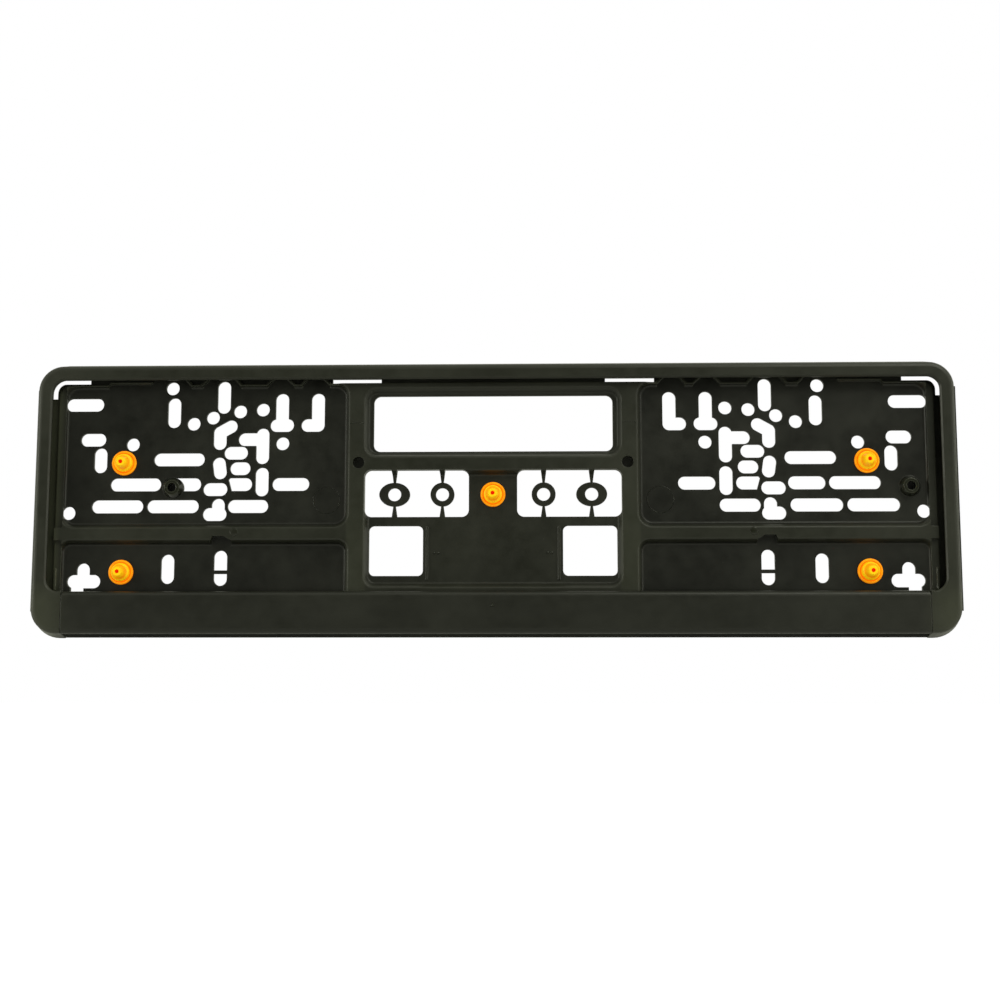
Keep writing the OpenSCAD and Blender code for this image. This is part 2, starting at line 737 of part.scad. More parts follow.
// section of the strip as [height, y]: a shallow channel open to the car
function strip_section() = concat(
  [[opening_low, -seat_h - clear]],
  arc(opening_low - strip_r, strip_r - depth, strip_r, 0, -90, 5),
  arc(bottom + strip_r, strip_r - depth, strip_r, -90, -180, 5),
  [[bottom, -floor_t - clear], [bottom + wall, -floor_t - clear]],
  arc(bottom + strip_r, strip_r - depth, strip_r - wall, -180, -90, 3),
  arc(opening_low - strip_r, strip_r - depth, strip_r - wall, -90, 0, 3),
  [[opening_low - wall, -seat_h - clear]]);

module clip(x) translate([x + clip_w / 2, 0, clip_z]) rotate([0, -90, 0]) linear_extrude(clip_w)
  polygon([[wall / 2, wall / 2 - depth], [wall / 2, -barb], [-wall / 2, -barb],
    [-wall / 2 - barb, -3 * barb], [-wall / 2 - barb, clip_stop], [-wall / 2, clip_stop],
    [-wall / 2, wall / 2 - depth]]);

module cover_strip() color("#30302e") {
  along_x(0, clear - seam_x, seam_x - clear, strip_section());
  for (x = clip_places()) clip(x);
}

// soft buffer: flange, stepped cone with a blind hole in its tip, and a neck with a head at the back
module buffer(p) color("#f39a12") translate([p[0], -floor_t / 2, p[1]]) rotate([90, 0, 0]) {
  top_h = buffer_h - flange_t - step_h;
  translate([0, 0, -head_t]) cylinder(h = head_t, d = head_d);
  cylinder(h = floor_t / 2, d = neck_d);
  translate([0, 0, floor_t / 2]) {
    cylinder(h = flange_t, d = buffer_d);
    translate([0, 0, flange_t]) cylinder(h = step_h, d1 = step_d, d2 = step_d - flange_t);
    translate([0, 0, flange_t + step_h]) difference() {
      cylinder(h = top_h, d1 = cone_d, d2 = tip_d);
      translate([0, 0, top_h / 3]) cylinder(h = top_h, d = tip_bore);
    }
  }
}

module buffer_left_upper() buffer([-buffer_x, buffer_high]);

module buffer_left_lower() buffer([-buffer_x, buffer_low]);

module buffer_middle() buffer([0, buffer_mid]);

module buffer_right_upper() buffer([buffer_x, buffer_high]);

module buffer_right_lower() buffer([buffer_x, buffer_low]);

base_frame();
cover_strip();
buffer_left_upper();
buffer_left_lower();
buffer_middle();
buffer_right_upper();
buffer_right_lower();
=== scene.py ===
import math

import bmesh
import bpy
import numpy as np
from mathutils import Matrix, Vector


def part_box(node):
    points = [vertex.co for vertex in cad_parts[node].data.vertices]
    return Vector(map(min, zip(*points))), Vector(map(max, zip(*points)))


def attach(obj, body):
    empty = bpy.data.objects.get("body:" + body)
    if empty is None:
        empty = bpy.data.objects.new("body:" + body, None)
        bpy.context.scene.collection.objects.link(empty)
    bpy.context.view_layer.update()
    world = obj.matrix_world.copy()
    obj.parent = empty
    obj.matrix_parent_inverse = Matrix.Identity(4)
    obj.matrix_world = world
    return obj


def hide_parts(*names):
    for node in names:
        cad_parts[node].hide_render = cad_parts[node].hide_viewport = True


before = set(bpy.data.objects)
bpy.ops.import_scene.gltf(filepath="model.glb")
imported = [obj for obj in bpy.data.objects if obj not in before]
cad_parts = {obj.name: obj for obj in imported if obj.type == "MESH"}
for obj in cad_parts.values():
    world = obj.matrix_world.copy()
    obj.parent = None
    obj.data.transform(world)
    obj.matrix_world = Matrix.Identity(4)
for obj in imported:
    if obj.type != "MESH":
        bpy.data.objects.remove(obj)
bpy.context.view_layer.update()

bl_info = {
    "name": "Number plate holder dressing",
    "version": (1, 0, 0),
    "blender": (4, 5, 0),
    "location": "3D View > Sidebar > Plate holder",
    "description": "Finishes for the moulded holder, its soft buffers and mould marks, and a plain stage",
    "category": "Object",
}

BODY = "root"
BUFFERS = ("left_upper", "left_lower", "middle", "right_upper", "right_lower")
# middles of the two moulded posts, in the plane of the plate
POSTS = ((-0.1813, 0, -0.0008), (0.233, 0, -0.001))
# fronts of the floor panels and of the ledges and bars
FLOOR_Y = -0.002
LEDGE_Y = -0.006

# zones painted lighter or darker as painted light and shade, or glossier, as the photograph shows them: a zone is 0 at
# its first place and 1 at its second
RAISED_Y = (-0.0028, -0.0046)
PANEL_X = (0.078, 0.084)
BLOCK_X = (0.234, 0.25)
BLOCK_Z = (-0.052, -0.066)
BAR_X = 0.0768
BAR_HALF = (0.0062, 0.0048)
BAR_Y = (-0.0105, -0.009)
BAR_Z = (0.03, -0.03)
GUTTER_X = (-0.2436, -0.2476)
GUTTER_Y = (-0.0102, -0.0098)
RIB_X = 0.2425
RIB_HALF = (0.0062, 0.0055)
RIB_Z = (-0.031, -0.033)
TONGUE_Z = (0.0545, 0.0555)
INSIDE_Y = (-0.0085, -0.0075)
POST_REACH = (0.0062, 0.0058)
POST_Y = (-0.002, -0.0024)
# reach and depth of the painted shade inside the posts' bores
BORE_SHADE_REACH = (0.0027, 0.0023)
BORE_SHADE_Y = (-0.0062, -0.0052)
# how much brighter the edges in the shiny zones are painted, as painted highlights
PAINTED_GLINT = 3.0
# specks of dust to the metre
SPECKS = 210.0

# the buffers' hidden half, as the solids have it: radius and thickness of the head, radius of the neck, and
# distance from the back to the flange's seat
HEAD = 0.0042
HEAD_THICKNESS = 0.0008
NECK = 0.0027
SEAT_DEPTH = 0.0018
# paler where the soft plastic has little thickness, plus painted highlights, and painted shade in the hole and the
# gutter inside the rim, against the share of the flange's radius
THIN_AND_HIGHLIT = ([0.2, 0.33, 0.44, 0.54, 0.6, 0.7, 0.76, 0.8, 0.85, 1], [1, 1, 0.6, 0.3, 0.8, 1, 0.3, 0.1, 0.5, 0.3])
DEEP_SHADE = ([0.74, 0.77, 0.8, 0.83], [0, 0.3, 0.3, 0])

# places (x, z) of the mould's marks on the right; each has its mirror image on the left
RING = (0.094, -0.008)
PIN = (0.1453, -0.0263)
PIPS = ((0.0307, -0.0378), (0.033, -0.0378))
RING_RADIUS = 0.0075
RING_WIDTH = 0.0006
PIN_RADIUS = 0.0022
PIN_ROUND = 0.0002
# share of its radius by which a pip or a line stands out
PIP_FLATNESS = 0.7
LINE_FLATNESS = 0.6
# inner end, length and height of the lines across the bars
LINE_X = 0.0727
LINE_LENGTH = 0.008
LINE_Z = 0.0356
# height of the middle mark, and its depths from the tip to the foot inside the strip
MARK_Z = -0.0675
MARK_DEPTHS = (-0.0122, -0.01203, -0.0119, -0.0119)

# half the floor's width
FLOOR_REACH = 3.0
# the room's light at the right and at the left, and the cosines of the angles between which it dims behind the
# camera
ROOM_RIGHT = 1.25
ROOM_LEFT = 0.8
ROOM_FADE = (0.66, 0.98)
# name, place, and width and height of each lamp
LAMPS = (("key", (0.8, -1.1, 1.2), (0.9, 0.9)), ("left", (-1.3, -0.4, 0.15), (0.15, 0.6)),
         ("right", (1.3, -0.4, 0.15), (0.15, 0.6)))

# camera fitted to the photograph for a chosen focal length: tilt, turn and roll in degrees, the fit's origin from
# the camera, and the frame's origin from the fit's
CAMERA_TURNS = (-6.817, -1.538, 0.014)
FIT_FROM_CAMERA = (-0.00393, 0.78873, -0.00002)
FRAME_FROM_FIT = (0, 0.001, 0.008)
FOCAL_PIXELS = 1400
PICTURE_PIXELS = 1000
SENSOR = 36.0


# sizes

# the plastic's finish, together with the strengths of the painted light and shade on the frame's zones
class HolderFinishAndPaintedLight(bpy.types.PropertyGroup):
    plastic: bpy.props.FloatVectorProperty(
        name="Plastic", description="Colour of the black moulded plastic", default=(0.0118, 0.0127, 0.0082),
        subtype="COLOR", size=3, min=0, max=1)
    dust: bpy.props.FloatVectorProperty(
        name="Dust", description="Colour of the fine dust on the plastic", default=(0.11, 0.11, 0.09),
        subtype="COLOR", size=3, min=0, max=1)
    frame_roughness: bpy.props.FloatProperty(
        name="Frame roughness", description="Roughness of the frame's satin skin", default=0.4, min=0, max=1,
        subtype="FACTOR")
    strip_roughness: bpy.props.FloatProperty(
        name="Strip roughness", description="Roughness of the strip's satin skin", default=0.43, min=0, max=1,
        subtype="FACTOR")
    strip_shade: bpy.props.FloatProperty(
        name="Strip shade", description="Tone of the strip's plastic beside the frame's", default=0.78, min=0.3,
        max=1.5)
    grain: bpy.props.FloatProperty(
        name="Grain", description="Distance between the grains of the moulded skin", default=0.0006, min=0.0001,
        max=0.003, unit="LENGTH")
    # also sets how wide the painted highlights on the edges are
    edge: bpy.props.FloatProperty(
        name="Edge rounding", description="Radius to which the mould's sharp edges read as rounded", default=0.0007,
        min=0, max=0.001, unit="LENGTH")
    # painted light: how much lighter the raised faces are painted
    raised: bpy.props.FloatProperty(
        name="Raised parts", description="How much lighter the raised faces are than the floor", default=0.35, min=0,
        max=2)
    # painted shade: how much darker the floor's side panels are painted
    panels: bpy.props.FloatProperty(
        name="Side panels", description="How much darker the floor's side panels are", default=0.5, min=0, max=1)
    posts: bpy.props.FloatProperty(
        name="Posts", description="How much glossier posts, tongues and the ribs beside the gutters are",
        default=0.22, min=0, max=0.4)
    # painted light: how much lighter the left gutter and its ledge are painted
    gutter: bpy.props.FloatProperty(
        name="Left gutter", description="How much lighter the left gutter and its ledge are", default=3, min=0,
        max=4)
    # painted light: how much lighter the upright bars are painted
    bars: bpy.props.FloatProperty(
        name="Bars", description="How much lighter the two upright bars are", default=0.8, min=0, max=3)
    # painted light: how much lighter the lower corner blocks are painted
    blocks: bpy.props.FloatProperty(
        name="Corner blocks", description="How much lighter the two lower corners are", default=1.7, min=0, max=3)


class BufferSizes(bpy.types.PropertyGroup):
    colour: bpy.props.FloatVectorProperty(
        name="Colour", description="Colour of the soft plastic", default=(1.0, 0.17, 0.002), subtype="COLOR", size=3,
        min=0, max=1)
    # colour of the soft plastic where it has little thickness, also used for painted highlights on the buffers
    thin_and_highlit_colour: bpy.props.FloatVectorProperty(
        name="Thin colour", description="Colour where the soft plastic is thin and light comes through",
        default=(1.0, 0.6, 0.006), subtype="COLOR", size=3, min=0, max=1)
    # painted shade: the darker red in the hole and in the gutter inside the rim
    deep_shade_colour: bpy.props.FloatVectorProperty(
        name="Deep colour", description="Colour in the hole and in the gutter inside the rim",
        default=(0.75, 0.035, 0.001), subtype="COLOR", size=3, min=0, max=1)
    # painted glow: the buffers emit their own colour, standing in for light that passes inside, though they are no
    # lamp
    glow: bpy.props.FloatProperty(
        name="Glow", description="How strongly light that passes inside the soft plastic shows", default=0.35, min=0,
        max=1)
    flange: bpy.props.FloatProperty(
        name="Flange", description="Radius of the flange", default=0.007, min=0.004, max=0.01, unit="LENGTH")
    rim: bpy.props.FloatProperty(
        name="Rim", description="Thickness of the flange's rounded rim", default=0.0012, min=0.0005, max=0.002,
        unit="LENGTH")
    bore: bpy.props.FloatProperty(
        name="Bore", description="Radius of the hole in the tip", default=0.0011, min=0.0005, max=0.002,
        unit="LENGTH")


class MarkSizes(bpy.types.PropertyGroup):
    height: bpy.props.FloatProperty(
        name="Height", description="Height of the marks above the skin", default=0.00012, min=0.00003, max=0.0005,
        unit="LENGTH")
    pip: bpy.props.FloatProperty(
        name="Pip", description="Radius of the small moulded pips", default=0.0008, min=0.0002, max=0.0015,
        unit="LENGTH")
    line: bpy.props.FloatProperty(
        name="Line", description="Radius of the knobs of the lines across the bars", default=0.0005, min=0.0001,
        max=0.001, unit="LENGTH")
    arrow: bpy.props.FloatProperty(
        name="Middle mark", description="Radius of the mark at the strip's middle", default=0.0016, min=0.0005,
        max=0.004, unit="LENGTH")


class StageSettings(bpy.types.PropertyGroup):
    floor_height: bpy.props.FloatProperty(
        name="Floor height", description="Height of the floor below the plate's middle", default=-0.2,
        unit="LENGTH")
    white: bpy.props.FloatProperty(
        name="White", description="Brightness of the background to the camera", default=1.0, min=0, max=2)
    around: bpy.props.FloatProperty(
        name="Around", description="Brightness of the room that lights the holder", default=0.8, min=0, max=4)
    front: bpy.props.FloatProperty(
        name="Front", description="Brightness of the room behind the camera", default=0.06, min=0, max=2)
    key: bpy.props.FloatProperty(
        name="Key lamp", description="Power of the large lamp at the upper right", default=9, min=0, unit="POWER")
    left: bpy.props.FloatProperty(
        name="Left lamp", description="Power of the narrow lamp at the far left", default=4, min=0, unit="POWER")
    right: bpy.props.FloatProperty(
        name="Right lamp", description="Power of the narrow lamp at the far right", default=1.5, min=0, unit="POWER")
    tint: bpy.props.FloatVectorProperty(
        name="Tint", description="Colour of all light that falls on the holder", default=(0.985, 1.0, 0.84),
        subtype="COLOR", size=3, min=0, max=1)


# meshes from arrays

def grid_faces(rows, columns, patches, close_rows, close_columns):
    """Faces of grids of points, as corner numbers: each face joins (i, j), (i, j + 1), (i + 1, j + 1), (i + 1, j).

    Numbers wrap round where rows or columns are closed. Each patch has its own rows * columns points.
    """
    i = np.arange(rows if close_rows else rows - 1)
    j = np.arange(columns if close_columns else columns - 1)
    i, j = np.meshgrid(i, j, indexing="ij")
    ni, nj = (i + 1) % rows, (j + 1) % columns
    one = np.stack([i * columns + j, i * columns + nj, ni * columns + nj, ni * columns + j], -1).reshape(-1, 4)
    return (one[None] + (np.arange(patches) * rows * columns)[:, None, None]).reshape(-1, 4)


def make_piece(name, points, close_rows, close_columns, material, attributes=None):
    """Makes a smooth mesh from points shaped (patches, rows, columns, 3), in metres, and rides it on the body.

    Points that fall together at poles are merged, and the normals of the closed shells are turned outwards.
    """
    patches, rows, columns = points.shape[:3]
    faces = grid_faces(rows, columns, patches, close_rows, close_columns)
    mesh = bpy.data.meshes.new(name)
    mesh.from_pydata(points.reshape(-1, 3), [], faces)
    for key, values in (attributes or {}).items():
        mesh.attributes.new(key, "FLOAT", "POINT").data.foreach_set("value", values.reshape(-1).astype(np.float32))
    made = bmesh.new()
    made.from_mesh(mesh)
    bmesh.ops.remove_doubles(made, verts=made.verts, dist=1e-7)
    bmesh.ops.recalc_face_normals(made, faces=made.faces)
    made.to_mesh(mesh)
    made.free()
    mesh.polygons.foreach_set("use_smooth", np.ones(len(mesh.polygons), bool))
    mesh.update()
    piece = bpy.data.objects.new(name, mesh)
    bpy.context.scene.collection.objects.link(piece)
    mesh.materials.append(material)
    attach(piece, BODY)
    return piece


def smooth_profile(corners, radii, steps=6):
    """Rounds the corners of a path of (distance, height) points.

    Each corner is replaced by the parabola that starts a radius before it, ends a radius after it and is tangent to
    both sides: (1-t)^2 a + 2 t (1-t) c + t^2 b.
    """
    corners, radii = np.asarray(corners, float), np.asarray(radii, float)
    before = np.roll(corners, 1, 0) - corners
    after = np.roll(corners, -1, 0) - corners
    before /= np.maximum(np.linalg.norm(before, axis=1, keepdims=True), 1e-9)
    after /= np.maximum(np.linalg.norm(after, axis=1, keepdims=True), 1e-9)
    before[0] = after[-1] = 0
    t = np.linspace(0, 1, steps)[None, :, None]
    a = corners + before * radii[:, None]
    b = corners + after * radii[:, None]
    rounded = (1 - t) ** 2 * a[:, None] + 2 * t * (1 - t) * corners[:, None] + t**2 * b[:, None]
    return rounded.reshape(-1, 2)


def turned(profile, centres, turns=72):
    """Turns a profile of (radius, y) about an axis along Y through each centre (x, z).

    Point (i, j) is (x + r_i cos a_j, y_i, z + r_i sin a_j), with a_j spread over a full turn.
    """
    a = np.linspace(0, 2 * math.pi, turns, endpoint=False)
    centres = np.asarray(centres, float)
    r, y = profile[:, 0], profile[:, 1]
    x = centres[:, 0, None, None] + r[None, :, None] * np.cos(a)
    z = centres[:, 1, None, None] + r[None, :, None] * np.sin(a)
    return np.stack([x, np.broadcast_to(y[None, :, None], x.shape), z], -1)


def both_sides(*places):
    """The mirror images of some places (x, z), then the places themselves."""
    return [(s * x, z) for s in (-1, 1) for x, z in places]


# shader nodes

def add(tree, kind, inputs=None, **settings):
    """Adds a node, sets its fields, and fills or links its inputs."""
    node = tree.nodes.new(kind)
    for key, value in settings.items():
        setattr(node, key, value)
    for key, value in (inputs or {}).items():
        if isinstance(value, bpy.types.NodeSocket):
            tree.links.new(value, node.inputs[key])
        else:
            node.inputs[key].default_value = value
    return node


def maths(tree, operation, a, b=0.0, clamp=False):
    return add(tree, "ShaderNodeMath", {0: a, 1: b}, operation=operation, use_clamp=clamp).outputs[0]


def spread(tree, value, low, high, to_low=0.0, to_high=1.0):
    """Carries a value from one range to another and holds it there."""
    inputs = {"Value": value, "From Min": low, "From Max": high, "To Min": to_low, "To Max": to_high}
    return add(tree, "ShaderNodeMapRange", inputs).outputs[0]


def swing(tree, cloud, low, high):
    """Noise carried to a range: nearly all of it lies between 0.3 and 0.7."""
    return spread(tree, cloud, 0.3, 0.7, low, high)


def noise(tree, place, size, detail=3.0, roughness=0.55):
    """Noise whose blobs are about `size` metres across."""
    inputs = {"Vector": place, "Scale": 1.0 / size, "Detail": detail, "Roughness": roughness}
    return add(tree, "ShaderNodeTexNoise", inputs).outputs["Fac"]


def mixed(tree, factor, a, b):
    """Mix of two colours."""
    node = add(tree, "ShaderNodeMix", data_type="RGBA")
    for key, value in ((0, factor), (6, a), (7, b)):
        if isinstance(value, bpy.types.NodeSocket):
            tree.links.new(value, node.inputs[key])
        elif key == 0:
            node.inputs[key].default_value = value
        else:
            node.inputs[key].default_value = (*value, 1)[:4]
    return node.outputs[2]


def new_group(name, inputs, outputs):
    """An empty shader node group with named sockets. Returns the tree, its input node and its output node."""
    tree = bpy.data.node_groups.new(name, "ShaderNodeTree")
    for key, kind, value in inputs:
        socket = tree.interface.new_socket(name=key, in_out="INPUT", socket_type=kind)
        socket.default_value = value
    for key, kind in outputs:
        tree.interface.new_socket(name=key, in_out="OUTPUT", socket_type=kind)
    return tree, tree.nodes.new("NodeGroupInput"), tree.nodes.new("NodeGroupOutput")


def moulded_skin_group():
    """Skin of moulded black plastic: mottled colour, uneven gloss, fine grain, flow lines and a little dust.

    Some zones of the frame get painted light and shade, lighter or darker, and some are glossier, as the photograph's
    light shows them.
    """
    tree, inside, out = new_group(
        "moulded_skin",
        [("Colour", "NodeSocketColor", (0.02, 0.02, 0.02, 1)), ("Dust colour", "NodeSocketColor", (0.1, 0.1, 0.1, 1)),
         ("Roughness", "NodeSocketFloat", 0.4), ("Grain size", "NodeSocketFloat", 0.0006),
         ("Mottle", "NodeSocketFloat", 0.25), ("Flow", "NodeSocketFloat", 0.3), ("Dust", "NodeSocketFloat", 0.3),
         # Raised, Blocks, Bars, Panels and Gutter set the painted light and shade of those zones
         ("Edge", "NodeSocketFloat", 0.0), ("Raised", "NodeSocketFloat", 0.4), ("Blocks", "NodeSocketFloat", 0.5),
         ("Bars", "NodeSocketFloat", 0.5), ("Panels", "NodeSocketFloat", 0.3),
         ("Posts", "NodeSocketFloat", 0.2), ("Gutter", "NodeSocketFloat", 1.5)],
        [("Colour", "NodeSocketColor"), ("Roughness", "NodeSocketFloat"), ("Height", "NodeSocketFloat")])
    ask = inside.outputs
    place = add(tree, "ShaderNodeTexCoord").outputs["Object"]
    broad = noise(tree, place, size=0.045, detail=2.0)
    middle = noise(tree, place, size=0.007, detail=4.0, roughness=0.6)
    size = maths(tree, "DIVIDE", 1.0, ask["Grain size"])
    fine = add(tree, "ShaderNodeTexNoise", {"Vector": place, "Scale": size, "Detail": 2.0}).outputs["Fac"]
    stretched = add(tree, "ShaderNodeMapping", {"Vector": place, "Scale": (0.06, 1.0, 1.0)}).outputs[0]
    flow = noise(tree, stretched, size=0.0022)

    # tone: mottling and flow lines, and painted highlights that make the edges paler
    tone = maths(tree, "ADD", swing(tree, broad, -1.0, 1.0), swing(tree, middle, -0.5, 0.5))
    tone = maths(tree, "ADD", tone, maths(tree, "MULTIPLY", swing(tree, flow, -0.6, 0.6), ask["Flow"]))
    tone = maths(tree, "ADD", maths(tree, "MULTIPLY", tone, ask["Mottle"]), 1.0)
    tone = maths(tree, "ADD", tone, maths(tree, "MULTIPLY", ask["Edge"], 0.35))

    # painted light and shade of the zones: corner blocks, bars, raised faces and the left gutter painted lighter, side
    # panels painted darker
    at = add(tree, "ShaderNodeSeparateXYZ", {0: place}).outputs
    raised = spread(tree, at[1], *RAISED_Y)
    side = maths(tree, "ABSOLUTE", at[0])
    block = maths(tree, "MULTIPLY", spread(tree, side, *BLOCK_X), spread(tree, at[2], *BLOCK_Z))
    across = maths(tree, "ABSOLUTE", maths(tree, "SUBTRACT", side, BAR_X))
    bar = maths(tree, "MULTIPLY", spread(tree, across, *BAR_HALF), spread(tree, at[1], *BAR_Y))
    bar = maths(tree, "MULTIPLY", bar, maths(tree, "MULTIPLY", raised, spread(tree, at[2], *BAR_Z)))
    tone = maths(tree, "ADD", tone, maths(tree, "MULTIPLY", bar, ask["Bars"]))
    tone = maths(tree, "ADD", tone, maths(tree, "MULTIPLY", raised, ask["Raised"]))
    panel = maths(tree, "MULTIPLY", spread(tree, side, *PANEL_X), maths(tree, "SUBTRACT", 1.0, raised))
    tone = maths(tree, "SUBTRACT", tone, maths(tree, "MULTIPLY", panel, ask["Panels"]))
    tone = maths(tree, "ADD", tone, maths(tree, "MULTIPLY", block, ask["Blocks"]))
    gutter = maths(tree, "MULTIPLY", spread(tree, at[0], *GUTTER_X), spread(tree, at[1], *GUTTER_Y))
    tone = maths(tree, "ADD", tone, maths(tree, "MULTIPLY", gutter, ask["Gutter"]))

    # shiny zones: edges of the ribs and tongues inside the rim, and the posts; their edges get painted highlights, and
    # the posts' bores painted shade
    flat = add(tree, "ShaderNodeCombineXYZ", {0: at[0], 2: at[2]}).outputs[0]
    posts = [add(tree, "ShaderNodeVectorMath", {0: flat, 1: centre}, operation="DISTANCE").outputs["Value"]
             for centre in POSTS]
    reach = maths(tree, "MINIMUM", *posts)
    rib = maths(tree, "ABSOLUTE", maths(tree, "SUBTRACT", side, RIB_X))
    rib = maths(tree, "MULTIPLY", spread(tree, rib, *RIB_HALF), spread(tree, at[2], *RIB_Z))
    shiny = maths(tree, "MAXIMUM", rib, spread(tree, at[2], *TONGUE_Z))
    shiny = maths(tree, "MULTIPLY", shiny, spread(tree, at[1], *INSIDE_Y))
    shiny = maths(tree, "MULTIPLY", shiny, ask["Edge"])
    post = maths(tree, "MULTIPLY", spread(tree, reach, *POST_REACH), spread(tree, at[1], *POST_Y))
    shiny = maths(tree, "MAXIMUM", shiny, post)
    # painted highlights on the edges of the shiny zones
    painted_glint = maths(tree, "MULTIPLY", maths(tree, "MULTIPLY", shiny, ask["Edge"]), PAINTED_GLINT)
    tone = maths(tree, "ADD", tone, painted_glint)
    # painted shade inside the posts' bores
    bore = maths(tree, "MULTIPLY", spread(tree, reach, *BORE_SHADE_REACH), spread(tree, at[1], *BORE_SHADE_Y))
    tone = maths(tree, "MULTIPLY", tone, maths(tree, "SUBTRACT", 1.0, bore))

    # colour: the tone, with its painted light and shade, times the plastic's colour, under a film and a few specks of
    # dust
    grey = add(tree, "ShaderNodeCombineColor", {0: tone, 1: tone, 2: tone}).outputs[0]
    toned = add(tree, "ShaderNodeMix", data_type="RGBA", blend_type="MULTIPLY")
    toned.inputs[0].default_value = 1.0
    tree.links.new(ask["Colour"], toned.inputs[6])
    tree.links.new(grey, toned.inputs[7])
    specks = add(tree, "ShaderNodeTexVoronoi", {"Vector": place, "Scale": SPECKS, "Randomness": 1.0})
    near = spread(tree, specks.outputs["Distance"], 0.02, 0.07, 1.0, 0.0)
    chosen = spread(tree, add(tree, "ShaderNodeSeparateColor", {0: specks.outputs["Color"]}).outputs[0], 0.86, 0.9)
    film = maths(tree, "MULTIPLY", spread(tree, broad, 0.45, 0.75), 0.12)
    dust = maths(tree, "MULTIPLY", maths(tree, "ADD", maths(tree, "MULTIPLY", near, chosen), film), ask["Dust"], True)
    tree.links.new(mixed(tree, dust, toned.outputs[2], ask["Dust colour"]), out.inputs["Colour"])

    # gloss: uneven, duller under dust, sharper on edges and in the shiny zones
    gloss = maths(tree, "ADD", swing(tree, middle, -0.05, 0.07), swing(tree, broad, -0.04, 0.04))
    gloss = maths(tree, "ADD", maths(tree, "ADD", gloss, ask["Roughness"]), maths(tree, "MULTIPLY", dust, 0.3))
    gloss = maths(tree, "SUBTRACT", gloss, maths(tree, "MULTIPLY", ask["Edge"], 0.08))
    gloss = maths(tree, "SUBTRACT", gloss, maths(tree, "MULTIPLY", shiny, ask["Posts"]), True)
    tree.links.new(gloss, out.inputs["Roughness"])

    # height of the grain and the flow lines
    height = maths(tree, "ADD", maths(tree, "MULTIPLY", fine, 0.35), maths(tree, "MULTIPLY", middle, 0.8))
    height = maths(tree, "ADD", height, maths(tree, "MULTIPLY", maths(tree, "MULTIPLY", flow, ask["Flow"]), 0.6))
    tree.links.new(height, out.inputs["Height"])
    return tree


def rounded_edge_group():
    """Normal that reads sharp edges as rounded, and a mask of 1 on those edges: 1 minus how far both normals agree."""
    tree, inside, out = new_group(
        "rounded_edge", [("Radius", "NodeSocketFloat", 0.0003)],
        [("Normal", "NodeSocketVector"), ("Mask", "NodeSocketFloat")])
    bevel = add(tree, "ShaderNodeBevel", {"Radius": inside.outputs["Radius"]}, samples=6)
    plain = add(tree, "ShaderNodeNewGeometry").outputs["Normal"]
    agree = add(tree, "ShaderNodeVectorMath", {0: bevel.outputs[0], 1: plain}, operation="DOT_PRODUCT")
    tree.links.new(bevel.outputs[0], out.inputs["Normal"])
    tree.links.new(spread(tree, agree.outputs["Value"], 0.995, 0.85), out.inputs["Mask"])
    return tree


def plastic_material(name, finish, roughness, mottle, flow, dust, bump, raised, shade=1.0):
    """Black moulded plastic: the skin's colour, gloss and grain on a plain dielectric, with rounded edges."""
    # raised, blocks, bars, panels and gutter carry painted light and shade into the skin's colour
    material = bpy.data.materials.new(name)
    material.use_nodes = True
    tree = material.node_tree
    tree.nodes.clear()
    edge = add(tree, "ShaderNodeGroup", node_tree=bpy.data.node_groups["rounded_edge"])
    edge.inputs["Radius"].default_value = finish.edge
    skin = add(tree, "ShaderNodeGroup", node_tree=bpy.data.node_groups["moulded_skin"])
    colour = (*(shade * value for value in finish.plastic), 1)
    values = {"Colour": colour, "Dust colour": (*finish.dust, 1), "Roughness": roughness,
              "Grain size": finish.grain, "Mottle": mottle, "Flow": flow, "Dust": dust, "Raised": raised,
              "Blocks": finish.blocks, "Bars": finish.bars, "Panels": finish.panels,
              "Posts": finish.posts, "Gutter": finish.gutter}
    for key, value in values.items():
        skin.inputs[key].default_value = value
    tree.links.new(edge.outputs["Mask"], skin.inputs["Edge"])
    grain = add(tree, "ShaderNodeBump", {"Height": skin.outputs["Height"], "Normal": edge.outputs["Normal"],
                                         "Strength": bump, "Distance": 0.00005})
    shader = add(tree, "ShaderNodeBsdfPrincipled", {"Base Color": skin.outputs["Colour"], "Normal": grain.outputs[0],
                                                    "Roughness": skin.outputs["Roughness"], "IOR": 1.49,
                                                    "Specular IOR Level": 0.42})
    add(tree, "ShaderNodeOutputMaterial", {"Surface": shader.outputs[0]})
    return material


